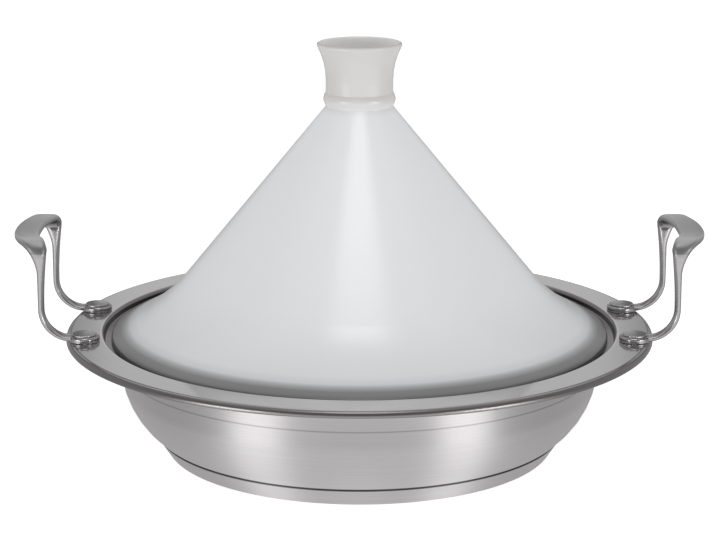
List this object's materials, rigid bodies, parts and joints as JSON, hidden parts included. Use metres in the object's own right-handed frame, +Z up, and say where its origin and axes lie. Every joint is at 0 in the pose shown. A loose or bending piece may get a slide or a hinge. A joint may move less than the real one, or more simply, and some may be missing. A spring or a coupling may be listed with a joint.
{
  "type": "tagine",
  "caption": "Wide round stainless steel tagine pan with a capped base, flat flange and riveted loop handles, under a loose conical white ceramic lid with a hollow flared knob.",
  "frame": {"origin": "centre of the underside of the pan's base, on the surface it stands on", "axes": "+Z up along the axis of the pan and lid, +X through the right-hand handle, +Y away from the front"},
  "size_m": [0.4362, 0.374, 0.261],
  "materials": {
    "pan_steel": "bowl brushed round, flange and seat polished",
    "cap_steel": "brushed round",
    "core_aluminium": "raw rolled",
    "handle_steel": "cast, polished legs and satin grip",
    "rivet_steel": "polished",
    "lid_ceramic": "glossy white glaze"
  },
  "bodies": {
    "pan": {"pan_body": "pan_steel", "base_core": "core_aluminium", "base_cap": "cap_steel", "handle_left": "handle_steel", "handle_right": "handle_steel", "rivet_left_front": "rivet_steel", "rivet_left_back": "rivet_steel", "rivet_right_front": "rivet_steel", "rivet_right_back": "rivet_steel"},
    "lid": {"lid": "lid_ceramic"}
  },
  "joints": [
    {"name": "lid_lift", "type": "slide", "parent": "pan", "child": "lid", "axis": [0, 0, 1], "range_m": [0, 0.1]}
  ]
}
